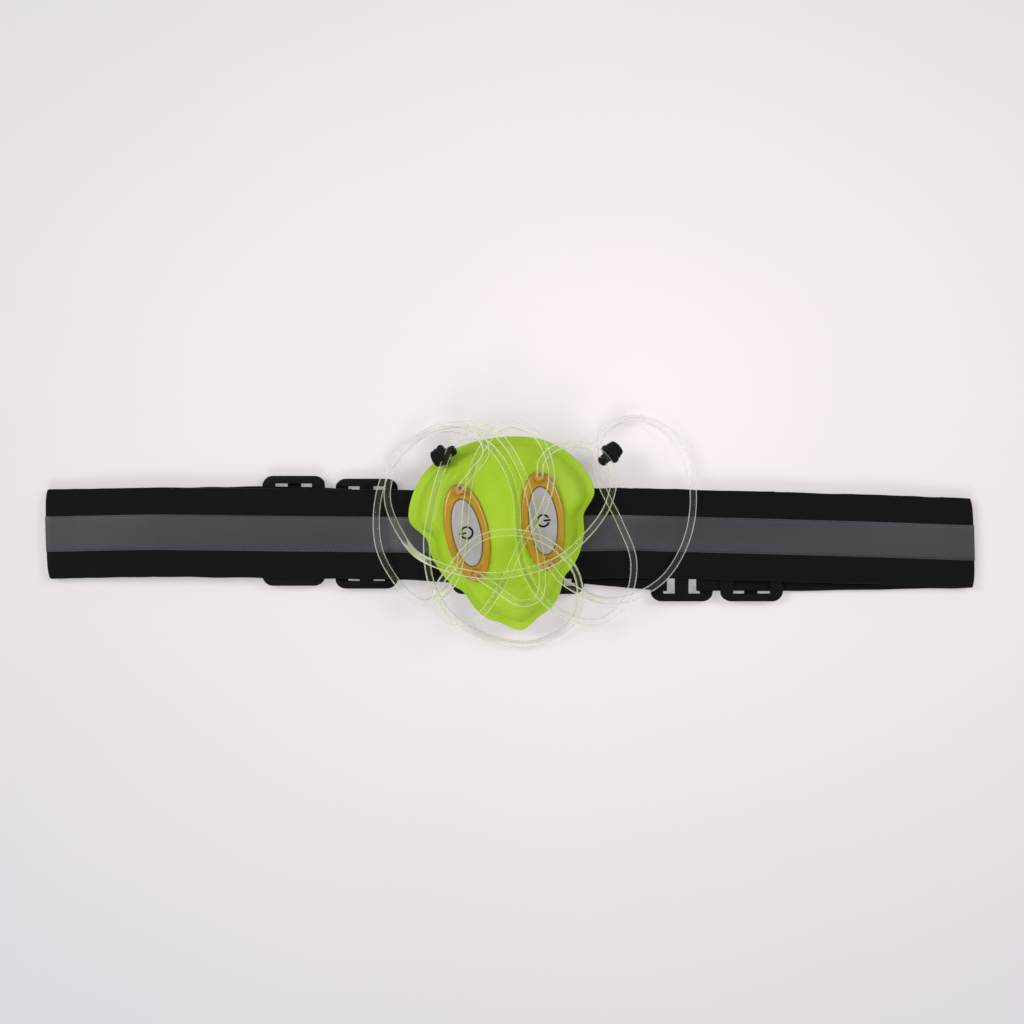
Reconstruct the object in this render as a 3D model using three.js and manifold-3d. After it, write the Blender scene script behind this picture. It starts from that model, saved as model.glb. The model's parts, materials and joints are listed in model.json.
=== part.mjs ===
// Night running light belt, lying flat with its face up.
// A 50 mm elastic belt with a reflective tape, closed by a side-release buckle at the back, carries a moulded
// head unit with two battery light modules.  Each module feeds both ends of one clear light tube.
// Millimetres, +X along the belt, +Y across it, +Z up, the belt lying on the plane z = 0.

import * as THREE from 'three';
import { mergeVertices } from 'three/addons/utils/BufferGeometryUtils.js';
import Module from 'manifold-3d';

const wasm = await Module();
wasm.setup();

// ---------------------------------------------------------------- driving dimensions
const GAP = 0.3; // between pieces that touch
const WEBBING_WIDTH = 50;
const WEBBING = 1.4; // webbing thickness
const HALF_BELT = 259.6; // belt centre to fold
const TAPE_WIDTH = 20;
const TAPE = 0.4;

const BACK_Z = 2.3; // webbing centre height of the rear layer
const FOLD_Z = 4.4; // front layer beside a fold
const OVER_HARDWARE_Z = 6.2; // front layer over the tri-glides
const OVER_BUCKLE_Z = 12.7; // front layer under the head unit
const TAB_LOW_Z = 0.8; // lower leg of a webbing end sewn round a bar
const TAB_HIGH_Z = 4.2; // upper leg

const GLIDE = { length: 35, width: 61.5, height: 4.8, corner: 6, slot: 6.5, slotLength: 53, slotAt: 7 };
const BAR_LOW = 1.8; // bars that carry a sewn webbing end
const BAR_HIGH = 3.2;
const SLIDER_LEFT = [-121, 1.3];
const LOOP_LEFT = [-80.3, -0.3];
const LOOP_RIGHT = [96.1, -7.4];
const SLIDER_RIGHT = [135.1, -7.4];

const BUCKLE_AT = [4.5, -3];
const BUCKLE = { half: 37, width: 62, height: 10, wall: 2.2, mouth: 8, endHeight: 7 };

const HEAD_AT = [-2.4, 1.8];
const HEAD_TILT = THREE.MathUtils.degToRad(9);
const BACK_COVER_Z = 14.4;
const BACK_COVER = 1.5;
const MODULE_AT = [21, 2];
const MODULE_TILT = THREE.MathUtils.degToRad(3);
const RING = { length: 54.2, width: 23.8, top: 31, roof: 2.4, foot: 20.9 };
const CAP = { length: 36.4, width: 14.8, top: 32.3 };
const PORT_AT = 22.6; // tube port to module centre
const TUBE = 4; // light tube diameter
const LEAD = 6; // straight length of a tube as it leaves its port

// ---------------------------------------------------------------- materials
function finish(color, roughness, metalness = 0) {
  return new THREE.MeshStandardMaterial({ color, roughness, metalness });
}
const LOOK = {
  elastic: () => finish(0x151517, 0.95),
  tape: () => finish(0x4c4b53, 0.55),
  nylon: () => finish(0x0b0b0c, 0.45),
  lime: () => finish(0xa3d02d, 0.5),
  amber: () => finish(0xd9972a, 0.3),
  cap: () => finish(0xb9b5bc, 0.4),
  board: () => finish(0x1d6b3a, 0.5),
  metal: () => finish(0xb4b4b0, 0.3, 1),
  led: () => finish(0xe8f0ff, 0.15),
  clear: () => finish(0xe6e8ec, 0.1),
};

// ---------------------------------------------------------------- solids
function solid(geometry) {
  const bare = geometry.clone();
  bare.deleteAttribute('normal');
  bare.deleteAttribute('uv');
  const merged = mergeVertices(bare, 1e-4);
  const corners = merged.index.array;
  const triangles = [];
  for (let i = 0; i < corners.length; i += 3) {
    const [a, b, c] = corners.slice(i, i + 3);
    if (a !== b && b !== c && c !== a) {
      triangles.push(a, b, c);
    }
  }
  return new wasm.Manifold(new wasm.Mesh({
    numProp: 3,
    vertProperties: Float32Array.from(merged.attributes.position.array),
    triVerts: Uint32Array.from(triangles),
  }));
}

function surface(body) {
  const raw = body.getMesh();
  const geometry = new THREE.BufferGeometry();
  geometry.setAttribute('position', new THREE.BufferAttribute(raw.vertProperties, 3));
  geometry.setIndex(new THREE.BufferAttribute(raw.triVerts, 1));
  geometry.computeVertexNormals();
  return geometry;
}

function cut(base, ...tools) {
  let body = solid(base);
  for (const tool of tools) {
    body = body.subtract(solid(tool));
  }
  return surface(body);
}

function join(base, ...others) {
  let body = solid(base);
  for (const other of others) {
    body = body.add(solid(other));
  }
  return surface(body);
}

function block([x0, x1], [y0, y1], [z0, z1]) {
  const geometry = new THREE.BoxGeometry(x1 - x0, y1 - y0, z1 - z0);
  return geometry.translate((x0 + x1) / 2, (y0 + y1) / 2, (z0 + z1) / 2);
}

function disc(radius, [z0, z1], [x, y] = [0, 0], segments = 24) {
  const geometry = new THREE.CylinderGeometry(radius, radius, z1 - z0, segments);
  return geometry.rotateX(Math.PI / 2).translate(x, y, (z0 + z1) / 2);
}

function oval(length, width, [z0, z1], segments = 24) {
  const geometry = new THREE.CylinderGeometry(0.5, 0.5, z1 - z0, segments);
  return geometry.rotateX(Math.PI / 2).scale(width, length, 1).translate(0, 0, (z0 + z1) / 2);
}

function prism(outline, [z0, z1], curveSegments = 6) {
  const geometry = new THREE.ExtrudeGeometry(outline, { depth: z1 - z0, bevelEnabled: false, curveSegments });
  return geometry.translate(0, 0, z0);
}

function roundedRectangle(width, height, radius) {
  const [x, y] = [width / 2, height / 2];
  const shape = new THREE.Shape();
  shape.moveTo(-x + radius, -y);
  shape.lineTo(x - radius, -y);
  shape.absarc(x - radius, -y + radius, radius, -Math.PI / 2, 0);
  shape.absarc(x - radius, y - radius, radius, 0, Math.PI / 2);
  shape.absarc(-x + radius, y - radius, radius, Math.PI / 2, Math.PI);
  shape.absarc(-x + radius, -y + radius, radius, Math.PI, 1.5 * Math.PI);
  return shape;
}

// ---------------------------------------------------------------- model assembly
const model = new THREE.Group();
model.name = 'night_running_light_belt';

function place(name, geometry, look, [x, y] = [0, 0], parent = model) {
  const mesh = new THREE.Mesh(geometry, look());
  mesh.name = name;
  mesh.position.set(x, y, 0);
  parent.add(mesh);
  return mesh;
}

// ---------------------------------------------------------------- webbing
// A webbing run is a centre line in the XZ plane, thickened and then extruded across the belt.
function thicken(line, thickness) {
  const [left, right] = [[], []];
  line.forEach((point, i) => {
    const before = line[Math.max(i - 1, 0)];
    const after = line[Math.min(i + 1, line.length - 1)];
    const along = after.clone().sub(before).normalize();
    const across = new THREE.Vector2(-along.y, along.x).multiplyScalar(thickness / 2);
    left.push(point.clone().add(across));
    right.push(point.clone().sub(across));
  });
  return new THREE.Shape([...left, ...right.reverse()]);
}

function webbing(line, thickness, width, drift) {
  const outline = thicken(line, thickness);
  const geometry = new THREE.ExtrudeGeometry(outline, { depth: width, bevelEnabled: false });
  geometry.rotateX(Math.PI / 2).translate(0, width / 2, 0);
  const position = geometry.attributes.position;
  for (let i = 0; i < position.count; i += 1) {
    position.setY(i, position.getY(i) + drift(position.getX(i), position.getZ(i)));
  }
  return geometry;
}

function bend([x, z], radius, from, to, steps = 6) {
  const points = [];
  for (let i = 0; i <= steps; i += 1) {
    const angle = THREE.MathUtils.degToRad(from + ((to - from) * i) / steps);
    points.push(new THREE.Vector2(x + radius * Math.cos(angle), z + radius * Math.sin(angle)));
  }
  return points;
}

// Height of the front layer: flat over the buckle, resting on the tri-glides, then down to the folds.
const FRONT_PROFILE = [
  [0, OVER_BUCKLE_Z],
  [46, OVER_BUCKLE_Z],
  [56, OVER_BUCKLE_Z - 1],
  [66, OVER_HARDWARE_Z + 2.3],
  [76, OVER_HARDWARE_Z + 0.6],
  [86, OVER_HARDWARE_Z],
  [200, OVER_HARDWARE_Z],
  [222, OVER_HARDWARE_Z - 0.8],
  [244, FOLD_Z],
];
const FOLD_RADIUS = (FOLD_Z - BACK_Z) / 2;
const FOLD_CENTRE = [HALF_BELT - FOLD_RADIUS - WEBBING / 2, (FOLD_Z + BACK_Z) / 2];

// Sideways wander of the two layers: pairs of place along the belt and offset across it.
const FRONT_DRIFT = [[-260, -0.6], [-200, 0.6], [-118, -0.3], [-34, -1.1], [62, 0.3], [135, -1.6], [200, -3.4], [260, -5.6]];
const BACK_DRIFT = [[-260, -0.6], [-190, 0.5], [-137, 1.3], [-118, 1.3], [-92, -0.3], [-60, -0.3], [75, -7.4], [160, -7.4], [200, -6.8], [260, -5.6]];

function lookUp(table, at) {
  const i = Math.min(Math.max(table.findIndex(([x]) => x > at), 1), table.length - 1);
  const [[x0, v0], [x1, v1]] = [table[i - 1], table[i]];
  return THREE.MathUtils.lerp(v0, v1, THREE.MathUtils.clamp((at - x0) / (x1 - x0), 0, 1));
}

const frontHeight = (x) => lookUp(FRONT_PROFILE, Math.abs(x));

function beltDrift(x, z) {
  const front = z > frontHeight(x) - WEBBING / 2 - 0.2 && z > FOLD_CENTRE[1];
  return lookUp(front ? FRONT_DRIFT : BACK_DRIFT, x);
}

function frontLine() {
  const xs = [-244, -222, -200, -160, -118, -86, -76, -66, -56, -46, -20, 20, 46, 56, 66, 76, 86, 118, 160, 200, 222, 244];
  return xs.map((x) => new THREE.Vector2(x, frontHeight(x)));
}

function leftFold() {
  return bend([-FOLD_CENTRE[0], FOLD_CENTRE[1]], FOLD_RADIUS, 270, 90);
}

function rightFold() {
  return bend(FOLD_CENTRE, FOLD_RADIUS, 90, -90);
}

// One webbing end sewn round a bar: the upper leg, the turn through the slot and the short lower leg.
// side is the direction from the bar to the turn.
function barTurn(barEdge, side) {
  const radius = (TAB_HIGH_Z - TAB_LOW_Z) / 2;
  const centre = [barEdge - side * GAP, (TAB_HIGH_Z + TAB_LOW_Z) / 2];
  return side > 0 ? bend(centre, radius, 90, -90, 8) : bend(centre, radius, 90, 270, 8);
}

const SIDE_BAR = GLIDE.slotAt + GLIDE.slot / 2; // tri-glide centre to the inner edge of a side bar
const TAB = 24; // length of the sewn lower leg

function elasticLine() {
  const leftTurn = barTurn(LOOP_LEFT[0] - SIDE_BAR, 1).reverse();
  const rightTurn = barTurn(LOOP_RIGHT[0] + SIDE_BAR, -1);
  const [leftEdge, rightEdge] = [LOOP_LEFT[0] - GLIDE.length / 2, LOOP_RIGHT[0] + GLIDE.length / 2];
  return [
    new THREE.Vector2(leftTurn[0].x - TAB, TAB_LOW_Z - 0.1),
    ...leftTurn,
    new THREE.Vector2(leftEdge - 0.6, TAB_HIGH_Z),
    new THREE.Vector2(leftEdge - 3.5, BACK_Z + 0.3),
    new THREE.Vector2(leftEdge - 5.2, BACK_Z),
    new THREE.Vector2(SLIDER_LEFT[0], BACK_Z),
    new THREE.Vector2(-190, BACK_Z),
    ...leftFold(),
    ...frontLine(),
    ...rightFold(),
    new THREE.Vector2(200, BACK_Z),
    new THREE.Vector2(rightEdge + 5.2, BACK_Z),
    new THREE.Vector2(rightEdge + 3.5, BACK_Z + 0.3),
    new THREE.Vector2(rightEdge + 0.6, TAB_HIGH_Z),
    ...rightTurn,
    new THREE.Vector2(rightTurn[8].x + TAB, TAB_LOW_Z - 0.1),
  ];
}

function tapeLine() {
  const line = [
    new THREE.Vector2(-205, BACK_Z),
    ...leftFold(),
    ...frontLine(),
    ...rightFold(),
    new THREE.Vector2(205, BACK_Z),
  ];
  const lift = WEBBING / 2 + GAP + TAPE / 2;
  return line.map((point, i) => {
    const before = line[Math.max(i - 1, 0)];
    const after = line[Math.min(i + 1, line.length - 1)];
    const along = after.clone().sub(before).normalize();
    return new THREE.Vector2(point.x - along.y * lift, point.y + along.x * lift);
  });
}


place('elastic_belt', webbing(elasticLine(), WEBBING, WEBBING_WIDTH, beltDrift), LOOK.elastic);
place('reflective_tape', webbing(tapeLine(), TAPE, TAPE_WIDTH, beltDrift), LOOK.tape);

// A short double strap stitched into a flat ring round the bars at its two ends.
function strapRing([x0, y0], [x1, y1]) {
  const middle = (TAB_HIGH_Z + TAB_LOW_Z) / 2;
  const reach = (TAB_HIGH_Z - TAB_LOW_Z) / 2;
  const ring = (radius) => {
    const path = new THREE.Shape();
    path.absarc(x0, middle, radius, Math.PI / 2, 1.5 * Math.PI);
    path.absarc(x1, middle, radius, -Math.PI / 2, Math.PI / 2);
    return path;
  };
  const outline = ring(reach + WEBBING / 2);
  outline.holes.push(ring(reach - WEBBING / 2));
  const geometry = prism(outline, [0, WEBBING_WIDTH]);
  geometry.rotateX(Math.PI / 2).translate(0, WEBBING_WIDTH / 2, 0);
  const position = geometry.attributes.position;
  for (let i = 0; i < position.count; i += 1) {
    position.setY(i, position.getY(i) + THREE.MathUtils.mapLinear(position.getX(i), x0, x1, y0, y1));
  }
  return geometry;
}

const BUCKLE_BAR = BUCKLE.half - 5; // buckle centre to the inner edge of a strap bar
place('buckle_strap_left', strapRing(
  [LOOP_LEFT[0] + SIDE_BAR + GAP, LOOP_LEFT[1]],
  [BUCKLE_AT[0] - BUCKLE_BAR - GAP, BUCKLE_AT[1]],
), LOOK.elastic);
place('buckle_strap_right', strapRing(
  [BUCKLE_AT[0] + BUCKLE_BAR + GAP, BUCKLE_AT[1]],
  [LOOP_RIGHT[0] - SIDE_BAR - GAP, LOOP_RIGHT[1]],
), LOOK.elastic);

// ---------------------------------------------------------------- tri-glides
const SPAN = GLIDE.slotLength / 2; // half of the clear width between the rails of a tri-glide or buckle

function triGlide(tools) {
  const frame = prism(roundedRectangle(GLIDE.length, GLIDE.width, GLIDE.corner), [0, GLIDE.height]);
  const slots = [-GLIDE.slotAt, GLIDE.slotAt].map(
    (x) => block([x - GLIDE.slot / 2, x + GLIDE.slot / 2], [-SPAN, SPAN], [-1, GLIDE.height + 1]),
  );
  return cut(frame, ...slots, ...tools);
}

// The slider rides on one layer of webbing, which passes over its centre bar and under its side bars.
function slider() {
  const middle = GLIDE.slotAt - GLIDE.slot / 2;
  const under = [-1, BACK_Z + WEBBING / 2 + GAP];
  return triGlide([
    block([-middle - 0.1, middle + 0.1], [-SPAN, SPAN], [BACK_Z - WEBBING / 2 - GAP, GLIDE.height + 1]),
    block([SIDE_BAR - 0.1, GLIDE.length], [-SPAN, SPAN], under),
    block([-GLIDE.length, -SIDE_BAR + 0.1], [-SPAN, SPAN], under),
  ]);
}

// The loop carries a sewn webbing end on each of its two thin side bars.
function loop() {
  const left = [-GLIDE.length, -SIDE_BAR + 0.1];
  const right = [SIDE_BAR - 0.1, GLIDE.length];
  const tools = [];
  for (const span of [left, right]) {
    tools.push(block(span, [-SPAN, SPAN], [-1, BAR_LOW]));
    tools.push(block(span, [-SPAN, SPAN], [BAR_HIGH, GLIDE.height + 1]));
  }
  return triGlide(tools);
}

place('slider_left', slider(), LOOK.nylon, SLIDER_LEFT);
place('slider_right', slider(), LOOK.nylon, SLIDER_RIGHT);
place('loop_left', loop(), LOOK.nylon, LOOP_LEFT);
place('loop_right', loop(), LOOK.nylon, LOOP_RIGHT);

// ---------------------------------------------------------------- side-release buckle
const PRONG_Z = [BUCKLE.wall + 0.6, BUCKLE.height - BUCKLE.wall - 0.6];
const CAVITY = { deep: -16, half: 25.5, window: [-13.5, -1] };
const PRONG_ROOT = { x: 4.7, y: 19, radius: 3.3 };

function barEnd(side) {
  const along = (near, far) => (side < 0 ? [-far, -near] : [near, far]);
  return [
    block(along(24, 40), [-40, 40], [BUCKLE.endHeight, BUCKLE.height + 1]),
    block(along(25.5, BUCKLE_BAR), [-SPAN, SPAN], [-1, BUCKLE.height + 1]),
    block(along(BUCKLE_BAR - 0.1, 40), [-SPAN, SPAN], [-1, BAR_LOW]),
    block(along(BUCKLE_BAR - 0.1, 40), [-SPAN, SPAN], [BAR_HIGH, BUCKLE.height + 1]),
  ];
}

function buckleFemale() {
  const length = BUCKLE.half + BUCKLE.mouth;
  const body = prism(roundedRectangle(length, BUCKLE.width, 6), [0, BUCKLE.height]);
  body.translate(BUCKLE.mouth - length / 2, 0, 0);
  const hollow = [BUCKLE.wall, BUCKLE.height - BUCKLE.wall];
  const { half, deep, window } = CAVITY;
  return cut(
    body,
    block([deep, BUCKLE.mouth + 1], [-half, half], hollow),
    block(window, [half - 1, 40], hollow),
    block(window, [-40, 1 - half], hollow),
    ...barEnd(-1),
  );
}

function buckleMale() {
  const length = BUCKLE.half - BUCKLE.mouth - GAP;
  const body = prism(roundedRectangle(length, BUCKLE.width, 6), [0, BUCKLE.height]);
  body.translate(BUCKLE.half - length / 2, 0, 0);
  const base = cut(body, ...barEnd(1));
  const guide = block([-12, BUCKLE.mouth + 2], [-3.5, 3.5], PRONG_Z);
  return join(base, guide);
}

function prong(side) {
  const { x, y, radius } = PRONG_ROOT;
  const outline = new THREE.Shape();
  outline.moveTo(x, y - radius);
  outline.absarc(x, y, radius, -Math.PI / 2, Math.PI / 2);
  outline.lineTo(-1.5, 24.2);
  outline.lineTo(-2.2, 30.2);
  outline.lineTo(-9.5, 30.2);
  outline.lineTo(-11.8, 28.2);
  outline.lineTo(-14.2, 22);
  outline.lineTo(-13, 19.4);
  outline.lineTo(-5, 18);
  const geometry = prism(outline, PRONG_Z);
  return side > 0 ? geometry : geometry.rotateX(Math.PI).translate(0, 0, BUCKLE.height);
}

place('buckle_female', buckleFemale(), LOOK.nylon, BUCKLE_AT);
place('buckle_male', buckleMale(), LOOK.nylon, BUCKLE_AT);
place('prong_upper', prong(1), LOOK.nylon, BUCKLE_AT);
place('prong_lower', prong(-1), LOOK.nylon, BUCKLE_AT);

// ---------------------------------------------------------------- head unit
const head = new THREE.Group();
head.position.set(HEAD_AT[0], HEAD_AT[1], 0);
head.rotation.z = HEAD_TILT;
model.add(head);

// Right half of the rim from the crown to the chin: crown, ear, notch, cheek, jaw step, chin.
const HALF_RIM = [
  [0, 51.4], [9, 50.9], [18, 49.4], [27, 46.7], [35, 41.8], [42.2, 35.4], [47.7, 27.6], [51.3, 18.7],
  [51.8, 13.5], [50, 9.5], [46.5, 5.5], [44, 2], [43.3, -2], [42.8, -7], [41, -13], [38, -19.5],
  [33, -26], [28.5, -30], [26, -35], [23.5, -40], [18, -46.5], [11, -50], [5, -54], [0, -56],
];

function rimRadius() {
  const right = HALF_RIM.map(([x, y]) => new THREE.Vector3(x, y, 0));
  const left = HALF_RIM.slice(1, -1).reverse().map(([x, y]) => new THREE.Vector3(-x, y, 0));
  const curve = new THREE.CatmullRomCurve3([...right, ...left], true, 'centripetal');
  const polar = curve.getPoints(480).map((point) => [Math.atan2(point.y, point.x), Math.hypot(point.x, point.y)]);
  polar.sort((a, b) => a[0] - b[0]);
  const [first, last] = [polar[0], polar[polar.length - 1]];
  polar.unshift([last[0] - 2 * Math.PI, last[1]]);
  polar.push([first[0] + 2 * Math.PI, first[1]]);
  return (angle) => lookUp(polar, angle);
}
const rim = rimRadius();

// A body whose plan is the rim scaled by a factor at each height.
function rimBody(profile, segments = 60) {
  const lathe = new THREE.LatheGeometry(profile.map(([factor, z]) => new THREE.Vector2(factor, z)), segments);
  lathe.rotateX(Math.PI / 2);
  const position = lathe.attributes.position;
  for (let i = 0; i < position.count; i += 1) {
    const [x, y] = [position.getX(i), position.getY(i)];
    const scale = rim(Math.atan2(y, x));
    position.setXY(i, x * scale, y * scale);
  }
  return lathe;
}

const DOME = [
  [0, BACK_COVER_Z], [1, BACK_COVER_Z], [1, 16.6], [0.91, 17.2], [0.87, 22], [0.8, 25.4], [0.7, 27.5],
  [0.5, 28.7], [0, 29.2],
];
const DOME_INSIDE = [
  [0, BACK_COVER_Z - 1], [0.94, BACK_COVER_Z - 1], [0.94, 16.2], [0.85, 16.2], [0.8, 22], [0.7, 25.2],
  [0.48, 26.7], [0, 27.1],
];
const BACK_COVER_RIM = 0.93;
const SHELL_BOSSES = [[31, 32], [-31, 32], [15, -37], [-15, -37]];
const CLAMP = { half: 11, reach: 36.5, post: 29.5, screw: 33, thick: 1.4 };
const SCREW = { head: 1.3, radius: 2.6, shank: 1.3 };
const CLAMP_SCREWS = [[8, CLAMP.screw], [-8, CLAMP.screw], [8, -CLAMP.screw], [-8, -CLAMP.screw]];
const INNER_Z = BACK_COVER_Z + BACK_COVER + GAP; // inside face of the back cover, plus the gap

function inModule(geometry, side) {
  return geometry.rotateZ(-side * MODULE_TILT).translate(side * MODULE_AT[0], MODULE_AT[1], 0);
}

function frontShell() {
  const outer = cut(rimBody(DOME), rimBody(DOME_INSIDE));
  const bosses = SHELL_BOSSES.map((at) => disc(3.2, [INNER_Z + 0.3, 25.2], at, 12));
  const bores = SHELL_BOSSES.map((at) => disc(SCREW.shank + GAP, [BACK_COVER_Z - 1, 23], at, 12));
  const windows = [-1, 1].map((side) => inModule(oval(RING.length + 0.7, RING.width + 0.7, [15, 40]), side));
  return cut(join(outer, ...bosses), ...windows, ...bores);
}

function backCover() {
  const plate = rimBody([
    [0, BACK_COVER_Z], [BACK_COVER_RIM, BACK_COVER_Z], [BACK_COVER_RIM, BACK_COVER_Z + BACK_COVER],
    [0, BACK_COVER_Z + BACK_COVER],
  ]);
  const bosses = CLAMP_SCREWS.map((at) => disc(3, [BACK_COVER_Z + 0.2, 18.4], at, 12));
  const holes = [...SHELL_BOSSES, ...CLAMP_SCREWS].map((at) => disc(SCREW.shank + GAP, [10, 20], at, 12));
  return cut(join(plate, ...bosses), ...holes);
}

const CLAMP_SEAT = BUCKLE.height + GAP + 1.9; // where the clamp screw heads bear, inside the posts

function beltClamp() {
  const { half, reach, post, thick } = CLAMP;
  const low = BUCKLE.height + GAP;
  const bar = block([-half, half], [-reach, reach], [low, low + thick]);
  const posts = [1, -1].map((side) => {
    const span = side > 0 ? [post, reach] : [-reach, -post];
    return block([-half, half], span, [low, BACK_COVER_Z - GAP]);
  });
  const bores = CLAMP_SCREWS.map((at) => disc(SCREW.shank + GAP, [5, 20], at, 12));
  const recesses = CLAMP_SCREWS.map((at) => disc(SCREW.radius + GAP, [5, CLAMP_SEAT], at, 12));
  return cut(join(bar, ...posts), ...bores, ...recesses);
}

function screw([x, y], headLow, tip) {
  const { head: depth, radius, shank } = SCREW;
  const length = tip - headLow;
  const profile = [
    [0, 0], [radius - 0.4, 0], [radius, 0.4], [radius, depth], [shank, depth], [shank, length - 0.6], [0, length],
  ];
  const lathe = new THREE.LatheGeometry(profile.map(([r, z]) => new THREE.Vector2(r, z)), 12);
  return lathe.rotateX(Math.PI / 2).translate(x, y, headLow);
}

place('front_shell', frontShell(), LOOK.lime, [0, 0], head);
place('back_cover', backCover(), LOOK.lime, [0, 0], head);
place('belt_clamp', beltClamp(), LOOK.nylon, [0, 0], head);
SHELL_BOSSES.forEach((at, i) => {
  place(`shell_screw_${i + 1}`, screw(at, BACK_COVER_Z - GAP - SCREW.head, 22), LOOK.metal, [0, 0], head);
});
CLAMP_SCREWS.forEach((at, i) => {
  place(`clamp_screw_${i + 1}`, screw(at, CLAMP_SEAT - SCREW.head - GAP, 18.6), LOOK.metal, [0, 0], head);
});

// ---------------------------------------------------------------- light modules
// A port is the tilted collar where a light tube enters a module: end +1 is towards the crown.
const PORT_RISE = THREE.MathUtils.degToRad(60);
const PORT_Z = 29.5;
const COLLAR = { outer: 2.8, inner: TUBE / 2 + GAP, low: -1.2, high: 4.4 };
const PORTS = [
  { name: 'right_upper', side: 1, end: 1, heading: 78 },
  { name: 'right_lower', side: 1, end: -1, heading: 305 },
  { name: 'left_upper', side: -1, end: 1, heading: 62 },
  { name: 'left_lower', side: -1, end: -1, heading: 322 },
];

function portPlace({ side, end }) {
  const offset = new THREE.Vector3(0, end * PORT_AT, 0).applyAxisAngle(new THREE.Vector3(0, 0, 1), -side * MODULE_TILT);
  return offset.add(new THREE.Vector3(side * MODULE_AT[0], MODULE_AT[1], PORT_Z));
}

function portAxis({ heading }) {
  const plan = THREE.MathUtils.degToRad(heading) - HEAD_TILT;
  return new THREE.Vector3(
    Math.cos(PORT_RISE) * Math.cos(plan),
    Math.cos(PORT_RISE) * Math.sin(plan),
    Math.sin(PORT_RISE),
  );
}

function alongPort(port, radius, low, high, segments) {
  const turn = new THREE.Quaternion().setFromUnitVectors(new THREE.Vector3(0, 1, 0), portAxis(port));
  const at = portPlace(port);
  const geometry = new THREE.CylinderGeometry(radius, radius, high - low, segments);
  return geometry.translate(0, (low + high) / 2, 0).applyQuaternion(turn).translate(at.x, at.y, at.z);
}

function collar(port) {
  const { outer, inner, low, high } = COLLAR;
  return cut(alongPort(port, outer, low, high, 14), alongPort(port, inner, low - 1, high + 1, 14));
}

function moduleRing(side) {
  const { length, width, top, roof, foot } = RING;
  const wall = join(
    oval(length, width, [foot, top - 1.6]),
    oval(length - 1.2, width - 1.2, [foot, top - 0.6]),
    oval(length - 3, width - 3, [foot, top]),
  );
  const hollow = oval(length - 4, width - 4, [foot - 1, top - roof]);
  const window = oval(CAP.length + 0.8, CAP.width + 0.8, [foot, top + 1]);
  const holes = PORTS.filter((port) => port.side === side)
    .map((port) => alongPort(port, COLLAR.outer + GAP, -7, 12, 14));
  return cut(inModule(cut(wall, hollow, window), side), ...holes);
}

function capBody(side) {
  const under = RING.top - RING.roof - GAP;
  const crown = join(
    oval(CAP.length, CAP.width, [under - 1.5, CAP.top - 0.7]),
    oval(CAP.length - 1.6, CAP.width - 1.6, [under - 1.5, CAP.top]),
  );
  const flange = oval(CAP.length + 2.4, CAP.width + 3, [under - 1.4, under]);
  const hollow = oval(CAP.length - 5, CAP.width - 5, [under - 3, CAP.top - 1.8]);
  const stem = disc(2, [24.9, CAP.top - 1], [0, 0], 12);
  return inModule(join(cut(join(crown, flange), hollow), stem), side);
}

function boardBody(side) {
  return inModule(oval(46, 17, [20.9, 22.1]), side);
}

const BATTERY = { radius: 10, low: INNER_Z + 0.2, thick: 3.2 };

function contactBody(side) {
  const low = BATTERY.low + BATTERY.thick + GAP;
  const strip = block([-3, 3], [-11.5, 11.5], [low, low + 0.4]);
  const leg = block([-3, 3], [10.6, 11.2], [BATTERY.low, low + 0.2]);
  return inModule(join(strip, leg), side);
}

for (const [name, side] of [['left', -1], ['right', 1]]) {
  place(`light_ring_${name}`, moduleRing(side), LOOK.amber, [0, 0], head);
  place(`button_${name}`, capBody(side), LOOK.cap, [0, 0], head);
  place(`circuit_board_${name}`, boardBody(side), LOOK.board, [0, 0], head);
  place(`switch_${name}`, inModule(block([-3, 3], [-3, 3], [22.4, 23.8]), side), LOOK.metal, [0, 0], head);
  const cell = disc(BATTERY.radius, [BATTERY.low, BATTERY.low + BATTERY.thick], [0, 0], 24);
  place(`coin_cell_${name}`, inModule(cell, side), LOOK.metal, [0, 0], head);
  place(`battery_contact_${name}`, contactBody(side), LOOK.metal, [0, 0], head);
}

for (const port of PORTS) {
  place(`tube_collar_${port.name}`, collar(port), LOOK.nylon, [0, 0], head);
  const { side, end } = port;
  const dome = join(disc(2, [22.4, 24.4], [0, end * 19.5], 12), disc(1.5, [22.4, 25.4], [0, end * 19.5], 12));
  place(`led_${port.name}`, inModule(dome, side), LOOK.led, [0, 0], head);
}

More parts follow.
